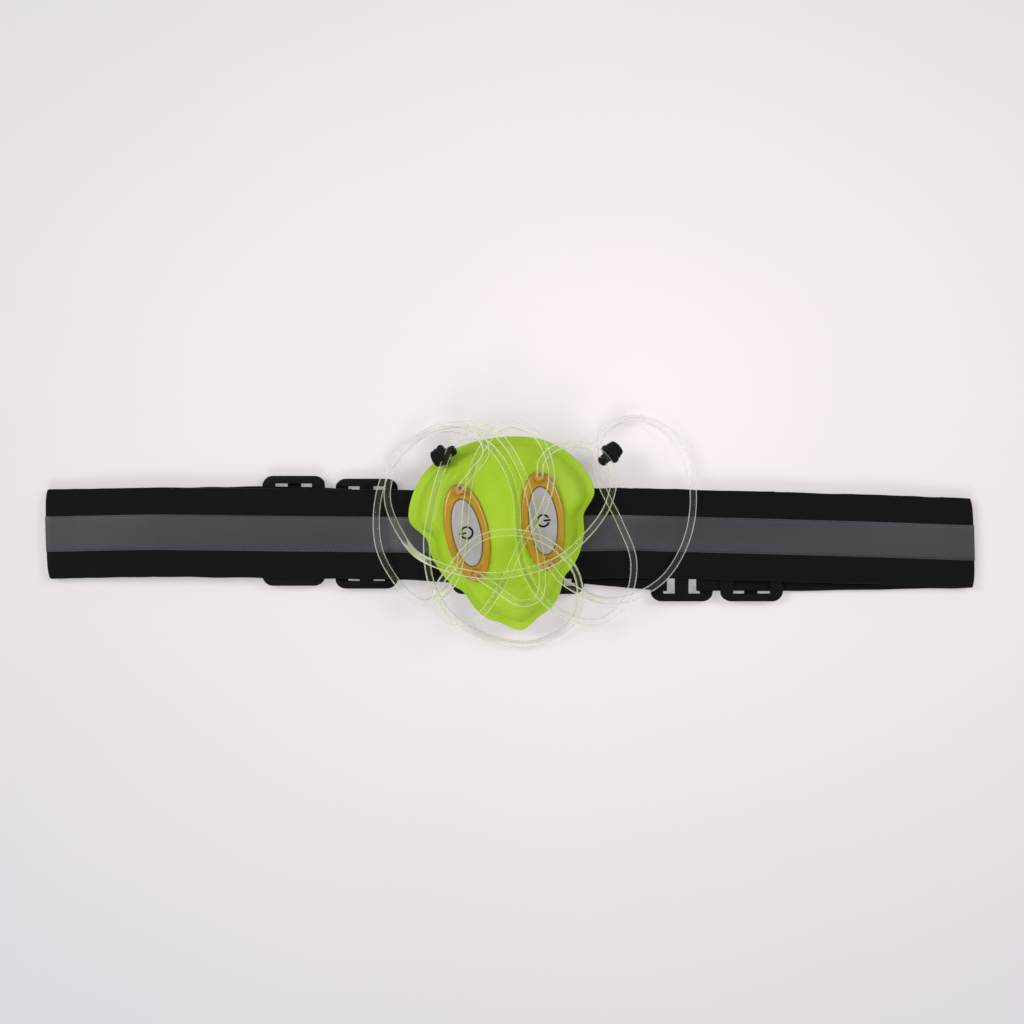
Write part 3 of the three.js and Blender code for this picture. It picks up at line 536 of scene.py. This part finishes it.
# ---------------------------------------------------------------- webbing
WIDTH, THICK, HALF_BELT = 50.0, 1.4, 259.6
BACK_Z, FOLD_Z, OVER_HARDWARE_Z, OVER_BUCKLE_Z = 2.3, 4.4, 6.2, 12.7
TAB_LOW_Z, TAB_HIGH_Z, TAB, GAP = 0.8, 4.2, 24.0, 0.3
SIDE_BAR, GLIDE_HALF = 10.25, 17.5
LOOP_LEFT, LOOP_RIGHT = (-80.3, -0.3), (96.1, -7.4)
BUCKLE_AT, BUCKLE_BAR = (4.5, -3.0), 32.0
RUN_STEP, DRIFT_REACH, HEIGHT_REACH, TURN_STEPS, FOLD_STEPS = 2.0, 8.0, 5.0, 16, 14
RIPPLE, EDGE_WANDER = 0.14, 0.35
FOLD_STARTS, FOLD_REACH, CORNER_PULL, FOLD_SLANT = 250, 10, 1.6, 0.03
FRONT_PROFILE = [
    (0, OVER_BUCKLE_Z), (46, OVER_BUCKLE_Z), (56, OVER_BUCKLE_Z - 1), (66, OVER_HARDWARE_Z + 2.3),
    (76, OVER_HARDWARE_Z + 0.6), (86, OVER_HARDWARE_Z), (200, OVER_HARDWARE_Z),
    (222, OVER_HARDWARE_Z - 0.8), (244, FOLD_Z)]
FRONT_DRIFT = [(-260, -0.6), (-200, 0.6), (-118, -0.3), (-34, -1.1), (62, 0.3), (135, -1.6),
               (200, -3.4), (260, -5.6)]
BACK_DRIFT = [(-260, -0.6), (-190, 0.5), (-137, 1.3), (-118, 1.3), (-92, -0.3), (-60, -0.3), (75, -7.4),
              (160, -7.4), (200, -6.8), (260, -5.6)]
FOLD_RADIUS = (FOLD_Z - BACK_Z) / 2
FOLD_X, FOLD_MIDDLE = HALF_BELT - FOLD_RADIUS - THICK / 2, (FOLD_Z + BACK_Z) / 2


def look_up(table, at):
    """The value at a place in a table of (place, value) rows, on straight lines between them."""
    for (x0, v0), (x1, v1) in zip(table, table[1:]):
        if at <= x1:
            return v0 + (v1 - v0) * max(0.0, (at - x0) / (x1 - x0))
    return table[-1][1]


def eased(table, at, reach):
    """The table's value averaged over a short reach, which rounds its corners."""
    return sum(look_up(table, at + reach * k / 3) for k in range(-3, 4)) / 7


def front_height(x):
    """How high the front layer lies: over the buckle, down to the hardware, down to the folds."""
    return eased(FRONT_PROFILE, abs(x), HEIGHT_REACH)


def arc(centre, radius, start, end, steps):
    turns = [math.radians(start + (end - start) * k / steps) for k in range(steps + 1)]
    return [(centre[0] + radius * math.cos(t), centre[1] + radius * math.sin(t)) for t in turns]


def bar_turn(edge, side):
    """The half turn of a sewn end round the bar beside the given edge."""
    centre = (edge - side * GAP, (TAB_HIGH_Z + TAB_LOW_Z) / 2)
    return arc(centre, (TAB_HIGH_Z - TAB_LOW_Z) / 2, 90, -90 if side > 0 else 270, TURN_STEPS)


def front_line():
    return [(x * RUN_STEP, front_height(x * RUN_STEP)) for x in range(-122, 123)]


LEFT_FOLD = arc((-FOLD_X, FOLD_MIDDLE), FOLD_RADIUS, 270, 90, FOLD_STEPS)
RIGHT_FOLD = arc((FOLD_X, FOLD_MIDDLE), FOLD_RADIUS, 90, -90, FOLD_STEPS)


def elastic_line():
    """Left sewn end, rear layer, left fold, front layer, right fold, rear layer, right sewn end."""
    left_turn = bar_turn(LOOP_LEFT[0] - SIDE_BAR, 1)[::-1]
    right_turn = bar_turn(LOOP_RIGHT[0] + SIDE_BAR, -1)
    left, right = LOOP_LEFT[0] - GLIDE_HALF, LOOP_RIGHT[0] + GLIDE_HALF
    descent = [(0.6, TAB_HIGH_Z), (3.5, BACK_Z + 0.3), (5.2, BACK_Z)]
    return ([(left_turn[0][0] - TAB, TAB_LOW_Z - 0.1)] + left_turn
            + [(left - d, z) for d, z in descent] + [(-190, BACK_Z)] + LEFT_FOLD + front_line() + RIGHT_FOLD
            + [(200, BACK_Z)] + [(right + d, z) for d, z in descent[::-1]] + right_turn
            + [(right_turn[-1][0] + TAB, TAB_LOW_Z - 0.1)])


def belt_drift(x, z):
    """How far a layer lies off the middle line; the front and the rear layer wander separately."""
    front = z > min(front_height(x) - 1.0, FOLD_MIDDLE + 8) and z > FOLD_MIDDLE
    return eased(FRONT_DRIFT if front else BACK_DRIFT, x, DRIFT_REACH)


class Strip:
    """A webbing run in millimetres: a centre line in XZ, a width across Y and a sideways wander."""

    def __init__(self, line, drift, closed=False):
        self.closed = closed
        self.points = [Vector((x, 0, z)) for x, z in self.split(line)]
        self.drift = [drift(p.x, p.z) for p in self.points]
        self.normals = []
        count = len(self.points)
        for i in range(count):
            before = self.points[i - 1] if closed or i else self.points[0]
            after = self.points[(i + 1) % count] if closed or i + 1 < count else self.points[i]
            along = (after - before).normalized()
            self.normals.append(Vector((-along.z, 0, along.x)))

    def split(self, line):
        result = []
        for (x0, z0), (x1, z1) in zip(line, line[1:]):
            steps = max(1, math.ceil(math.hypot(x1 - x0, z1 - z0) / RUN_STEP))
            result += [(x0 + (x1 - x0) * k / steps, z0 + (z1 - z0) * k / steps) for k in range(steps)]
        return result if self.closed else result + [line[-1]]

    def at(self, i, across, out):
        """A point in metres: rippled, with wavy edges, and with rounded and slanted corners at the folds."""
        point, normal = self.points[i], self.normals[i]
        share = abs(across) / (WIDTH / 2)
        calm = min(1.0, max(0.1, (point.z - 1.5) / 3))
        wander = noise.noise(Vector((point.x * 0.03, across * 0.05, point.z * 0.4))) * RIPPLE * calm
        edge = noise.noise(Vector((point.x * 0.07, math.copysign(5, across), point.z))) * EDGE_WANDER
        y = self.drift[i] + across + edge * share ** 4
        at_fold = max(0.0, (abs(point.x) - FOLD_STARTS) / FOLD_REACH)
        pull = -math.copysign(CORNER_PULL * share ** 6, point.x) - FOLD_SLANT * across
        return (point + normal * (out + wander) + Vector((pull * at_fold, y, 0))) * MM

    def body(self, name, width, thick, lift, material, **where):
        """The run as a solid strip with thin selvedges."""
        half, skin = width / 2, thick / 2
        steps = max(8, round(width / 2.5))
        spread = [-half + 0.35 + (width - 0.7) * k / steps for k in range(steps + 1)]
        section = [(-half, 0.0)] + [(v, skin) for v in spread] + [(half, 0.0)]
        section += [(v, -skin) for v in spread[::-1]]
        rings = [[self.at(i, v, lift + h) for v, h in section] for i in range(len(self.points))]
        return loft(name, rings, material, close_ends=not self.closed, close_loop=self.closed, **where)


THREAD_STATIONS, THREAD_SIDES = [(-0.5, 0.15), (-0.35, 0.8), (0.0, 1.0), (0.35, 0.8), (0.5, 0.15)], 6
STITCH_LENGTH, STITCH_PITCH, STITCH_RADIUS = 1.5, 2.4, 0.12


def stitches(name, paths, material, slot):
    """Rows of short thread stitches lying on a surface; each path is a list of points in metres."""
    verts, faces = [], []
    for path in paths:
        run = even(path, STITCH_PITCH * MM)
        for a, b in zip(run, run[1:]):
            ahead = (b - a).normalized()
            middle = (a + b) / 2
            side = ahead.cross(UP).normalized()
            ring = len(verts)
            for along, fat in THREAD_STATIONS:
                centre = middle + ahead * along * STITCH_LENGTH * MM
                for u, v in circle(STITCH_RADIUS * fat * MM, THREAD_SIDES):
                    verts.append(centre + side * u + UP * v)
            faces.append(tuple(ring + k for k in range(THREAD_SIDES))[::-1])
            for _ in THREAD_STATIONS[1:]:
                above = ring + THREAD_SIDES
                for k in range(THREAD_SIDES):
                    n = (k + 1) % THREAD_SIDES
                    faces.append((ring + k, ring + n, above + n, above + k))
                ring = above
            faces.append(tuple(ring + k for k in range(THREAD_SIDES)))
    return outward(make(name, verts, faces, material, slot=slot))


TAPE_WIDTH, TAPE_THICK, TAPE_LIFT = 20.0, 0.3, THICK / 2 + 0.2
THREAD_AT, THREAD_LIFT = 9.1, THICK / 2 + 0.42
belt = Strip(elastic_line(), belt_drift)
belt.body("elastic_webbing", WIDTH, THICK, 0.0, WEBBING, node="elastic_belt", slot="webbing")
tape_run = Strip([(-205, BACK_Z), (-232, BACK_Z)] + LEFT_FOLD + front_line() + RIGHT_FOLD
                 + [(232, BACK_Z), (205, BACK_Z)], belt_drift)
tape_run.body("tape_band", TAPE_WIDTH, TAPE_THICK, TAPE_LIFT, TAPE, node="reflective_tape",
              slot="reflective_tape")
tape_edges = [[tape_run.at(i, v, THREAD_LIFT) for i in range(len(tape_run.points))]
              for v in (-THREAD_AT, THREAD_AT)]
stitches("tape_stitching", tape_edges, THREAD, "webbing")


def strap_ring(name, node, first, second):
    """A short double strap sewn round two bars."""
    (x0, y0), (x1, y1) = first, second
    middle, reach = (TAB_HIGH_Z + TAB_LOW_Z) / 2, (TAB_HIGH_Z - TAB_LOW_Z) / 2
    line = arc((x0, middle), reach, 270, 90, TURN_STEPS) + arc((x1, middle), reach, 90, -90, TURN_STEPS)
    line.append(line[0])
    ring = Strip(line, lambda x, z: y0 + (y1 - y0) * (x - x0) / (x1 - x0), closed=True)
    ring.body(name, WIDTH, THICK, 0.0, WEBBING, node=node, slot="webbing")


strap_ring("buckle_webbing_left", "buckle_strap_left", (LOOP_LEFT[0] + SIDE_BAR + GAP, LOOP_LEFT[1]),
           (BUCKLE_AT[0] - BUCKLE_BAR - GAP, BUCKLE_AT[1]))
strap_ring("buckle_webbing_right", "buckle_strap_right", (BUCKLE_AT[0] + BUCKLE_BAR + GAP, BUCKLE_AT[1]),
           (LOOP_RIGHT[0] - SIDE_BAR - GAP, LOOP_RIGHT[1]))

# ---------------------------------------------------------------- hard parts with rounded edges
for node in ("slider_left", "slider_right", "loop_left", "loop_right"):
    softened(node, f"{node}_moulding", NYLON, 0.7 * MM, 3)
for node in ("buckle_female", "buckle_male", "prong_upper", "prong_lower"):
    softened(node, f"{node}_moulding", NYLON, 0.5 * MM, 2)
softened("back_cover", "back_cover_moulding", COVER, 0.3 * MM, 2)
softened("belt_clamp", "belt_clamp_moulding", COVER, 0.4 * MM, 2)

# ---------------------------------------------------------------- head unit
RIM_STEP, RIM_SEGMENTS, DOME_STEP, TYPICAL_REACH = 0.6, 420, 0.5, 50
LINE_DEPTH, LINE_PITCH, FIRST_LINE, LAST_LINE, LINES_ABOVE_Z = 0.42, 0.085, 0.36, 0.84, 22
WINDOW, WINDOW_Z, OVAL_SEGMENTS = (11.94, 27.14), (15, 40), 128
HALF_RIM = [
    (0, 51.4), (9, 50.9), (18, 49.4), (27, 46.7), (35, 41.8), (42.2, 35.4), (47.7, 27.6), (51.3, 18.7),
    (51.8, 13.5), (50, 9.5), (46.5, 5.5), (44, 2), (43.3, -2), (42.8, -7), (41, -13), (38, -19.5),
    (33, -26), (28.5, -30), (26, -35), (23.5, -40), (18, -46.5), (11, -50), (5, -54), (0, -56)]
whole_rim = HALF_RIM + [(-x, y) for x, y in HALF_RIM[-2:0:-1]]
rim_polar = sorted(
    (math.atan2(p.y, p.x), math.hypot(p.x, p.y))
    for p in curve_points([(x, y, 0) for x, y in whole_rim], RIM_STEP, closed=True)[:-1])
rim_polar.insert(0, (rim_polar[-1][0] - 2 * math.pi, rim_polar[-1][1]))
rim_polar.append((rim_polar[1][0] + 2 * math.pi, rim_polar[1][1]))
DOME = [
    (0.965, 14.4), (1.0, 14.55), (1.0, 15.2), (1.0, 16.1), (0.992, 16.5), (0.97, 16.75), (0.935, 17.0),
    (0.915, 17.5), (0.905, 18.6), (0.888, 20.4), (0.868, 22.2), (0.84, 24.0), (0.8, 25.45), (0.75, 26.65),
    (0.69, 27.55), (0.6, 28.25), (0.5, 28.7), (0.35, 29.0), (0.2, 29.15), (0.0, 29.2)]
INSIDE = [(0.0, 27.1), (0.48, 26.7), (0.7, 25.2), (0.8, 22), (0.85, 16.4), (0.94, 16.2), (0.95, 14.4)]


def contour(angle, factor):
    """Depth of the shallow contour lines moulded below and above the light modules."""
    below = max(0.0, math.cos(angle + math.pi / 2)) ** 2
    above = 0.5 * max(0.0, math.cos(angle - math.radians(112))) ** 6
    fade_in = max(0.0, min(1.0, (factor - FIRST_LINE) / 0.06))
    fade_out = max(0.0, min(1.0, (LAST_LINE - factor) / 0.04))
    wave = max(0.0, math.cos(2 * math.pi * (factor - FIRST_LINE) / LINE_PITCH)) ** 2
    return LINE_DEPTH * max(below, above) * fade_in * fade_out * wave


def shell_rings(profile):
    """The (share of the reach, height) profile at every angle round the rim."""
    rings = []
    for k in range(RIM_SEGMENTS):
        angle = -math.pi + 2 * math.pi * k / RIM_SEGMENTS
        reach = look_up(rim_polar, angle)
        ring = []
        for factor, z in profile:
            depth = contour(angle, factor) if z > LINES_ABOVE_Z else 0.0
            out = reach * factor
            ring.append(head_to_row((out * math.cos(angle), out * math.sin(angle), z - depth)))
        rings.append(ring)
    return rings


def cut_away(obj, tools):
    """Cuts the tools out of a piece and removes them."""
    for tool in tools:
        cutter = obj.modifiers.new("cut", "BOOLEAN")
        cutter.operation = "DIFFERENCE"
        cutter.solver = "EXACT"
        cutter.object = tool
    apply_modifiers(obj)
    for tool in tools:
        bpy.data.objects.remove(tool)


def oval(half_width, half_length, z, side):
    """A level ellipse round a light module's middle."""
    turns = [2 * math.pi * k / OVAL_SEGMENTS for k in range(OVAL_SEGMENTS)]
    return [module_to_row((half_width * math.cos(t), half_length * math.sin(t), z), side) for t in turns]


fine = curve_points([(f * TYPICAL_REACH, z, 0) for f, z in DOME], DOME_STEP)
fine_dome = [(p.x / TYPICAL_REACH, p.y) for p in fine]
shell = loft("lime_shell", shell_rings(fine_dome + INSIDE), LIME, close_loop=True, node="front_shell",
             slot="lime_shell")
weld(shell)
windows = [
    loft(f"window_{name}", [oval(*WINDOW, z, side) for z in WINDOW_Z], LIME, close_ends=True)
    for name, side in SIDES.items()]
cut_away(shell, windows)

RING_SECTION = [
    (11.9, 27.1, 20.9), (11.9, 27.1, 28.9), (11.85, 27.05, 29.6), (11.6, 26.8, 30.25), (11.1, 26.3, 30.7),
    (10.4, 25.4, 30.95), (9.4, 22.6, 31.0), (8.5, 20.0, 30.9), (8.05, 18.95, 30.75), (7.82, 18.7, 30.45),
    (7.8, 18.6, 28.6), (9.9, 25.1, 28.6), (9.9, 25.1, 20.9)]
CAP_SECTION = [
    (0.1, 0.1, 26.9), (8.9, 19.4, 26.9), (8.9, 19.4, 28.3), (7.62, 18.42, 28.3), (7.62, 18.42, 31.2),
    (7.5, 18.3, 31.7), (7.15, 17.95, 32.0), (6.4, 17.1, 32.16), (5.0, 14.0, 32.24), (2.5, 7.0, 32.29),
    (0.1, 0.1, 32.3)]


MARK_LOW, MARK_HIGH, MARK_INNER, MARK_OUTER = 32.2, 32.42, 2.65, 3.65
MARK_START, MARK_END, MARK_STEPS = 24, 338, 60
MARK_BAR, MARK_BAR_HALF = (0.3, 4.1), 0.5


def power_symbol(side):
    """A ring with a gap on its outer side and a bar that runs out through the gap."""
    verts, faces = [], []

    def strip(stations):
        """A bar of square section through pairs of inner and outer points."""
        base = len(verts)
        for inner, outer in stations:
            corners = ((inner, MARK_LOW), (outer, MARK_LOW), (outer, MARK_HIGH), (inner, MARK_HIGH))
            for (x, y), z in corners:
                verts.append(module_to_row((side * x, y, z), side))
        for s in range(len(stations) - 1):
            for k in range(4):
                a, n = base + 4 * s, (k + 1) % 4
                faces.append((a + k, a + n, a + 4 + n, a + 4 + k))
        faces.append(tuple(base + k for k in (3, 2, 1, 0)))
        end = base + 4 * (len(stations) - 1)
        faces.append(tuple(end + k for k in range(4)))

    inside = arc((0, 0), MARK_INNER, MARK_START, MARK_END, MARK_STEPS)
    outside = arc((0, 0), MARK_OUTER, MARK_START, MARK_END, MARK_STEPS)
    strip(list(zip(inside, outside)))
    strip([((x, -MARK_BAR_HALF), (x, MARK_BAR_HALF)) for x in MARK_BAR])
    return verts, faces


for name, side in SIDES.items():
    loft(f"amber_ring_{name}", [oval(a, b, z, side) for a, b, z in RING_SECTION], AMBER, close_loop=True,
         node=f"light_ring_{name}", slot="amber_ring")
    loft(f"grey_cap_{name}", [oval(a, b, z, side) for a, b, z in CAP_SECTION], CAP, close_ends=True,
         node=f"button_{name}", slot="grey_button")
    verts, faces = power_symbol(side)
    mark = make(f"power_mark_{name}", verts, faces, PRINT, slot="nylon", body=f"button_{name}",
                smooth=False)
    outward(mark)

# ---------------------------------------------------------------- nodes that keep their own shape
KEPT = {
    "shell_screw": STEEL, "clamp_screw": STEEL, "circuit_board": BOARD, "switch": NYLON,
    "coin_cell": CELL, "battery_contact": STEEL, "led": LENS,
}
for name, obj in frame["nodes"].items():
    kind = next((k for k in KEPT if name.startswith(k + "_")), None)
    if kind:
        obj.data.materials.clear()
        obj.data.materials.append(KEPT[kind])

# ---------------------------------------------------------------- floor and light
FLOOR_REACH, FLOOR_Z = 8, -0.0002
# the size and place of the pool of light painted on the floor
LIGHT_POOL_SCALE, LIGHT_POOL_SHIFT = (1.7, 2.1, 1), (-0.12, -0.16, 0)
SOFTBOX_SIZE = 0.9
SOFTBOXES = {
    "left_softbox": ((-1.4, 0.5, 1.4), 17, (1, 1, 1)),
    "right_softbox": ((1.4, 0.7, 1.4), 15, (1.0, 0.98, 0.97)),
    "front_softbox": ((-0.4, -1.5, 1.3), 13, (1.0, 0.98, 0.98)),
}
SKY_FADE = {"From Min": 0.05, "From Max": 0.6, "To Min": 0.2, "To Max": 0.42}

floor_mesh = bpy.data.meshes.new("floor")
floor_corners = [(x * FLOOR_REACH, y * FLOOR_REACH, FLOOR_Z) for x, y in ((-1, -1), (1, -1), (1, 1), (-1, 1))]
floor_mesh.from_pydata(floor_corners, [], [(0, 1, 2, 3)])
floor = bpy.data.objects.new("floor", floor_mesh)
bpy.context.scene.collection.objects.link(floor)
floor_look = Look("pale_floor", (236, 230, 233), 0.8, Emission_Color=(0.97, 0.94, 0.95, 1),
                  Emission_Strength=0.3)
# painted pool of light: the floor's colour is painted lighter in a broad patch a little off the middle and
# darker out towards the corners
light_pool_place = floor_look.node("ShaderNodeMapping", inputs={
    "Vector": floor_look.place, "Scale": LIGHT_POOL_SCALE, "Location": LIGHT_POOL_SHIFT})
painted_light_pool = floor_look.node("ShaderNodeTexGradient", 1, gradient_type="SPHERICAL", inputs={"Vector": light_pool_place})
mottle = floor_look.ramp(floor_look.noise(5, 3), -0.06, 0.06)
floor_look.paint(floor_look.math("ADD", painted_light_pool, mottle), (162, 159, 168), (210, 202, 203))
floor.data.materials.append(floor_look.material)

for name, (location, watts, color) in SOFTBOXES.items():
    data = bpy.data.lights.new(name, "AREA")
    data.shape = "DISK"
    data.size = SOFTBOX_SIZE
    data.energy = watts
    data.color = color
    light = bpy.data.objects.new(name, data)
    light.location = location
    light.rotation_euler = (-Vector(location)).to_track_quat("-Z", "Y").to_euler()
    bpy.context.scene.collection.objects.link(light)

world = bpy.data.worlds.new("studio")
world.use_nodes = True
sky = world.node_tree
height = sky.nodes.new("ShaderNodeSeparateXYZ")
sky.links.new(sky.nodes.new("ShaderNodeTexCoord").outputs["Generated"], height.inputs[0])
fade = sky.nodes.new("ShaderNodeMapRange")
sky.links.new(height.outputs["Z"], fade.inputs["Value"])
for key, value in SKY_FADE.items():
    fade.inputs[key].default_value = value
sky.links.new(fade.outputs[0], sky.nodes["Background"].inputs["Strength"])
sky.nodes["Background"].inputs["Color"].default_value = (0.96, 0.95, 0.97, 1)
bpy.context.scene.world = world
bpy.context.scene.view_settings.view_transform = "Standard"
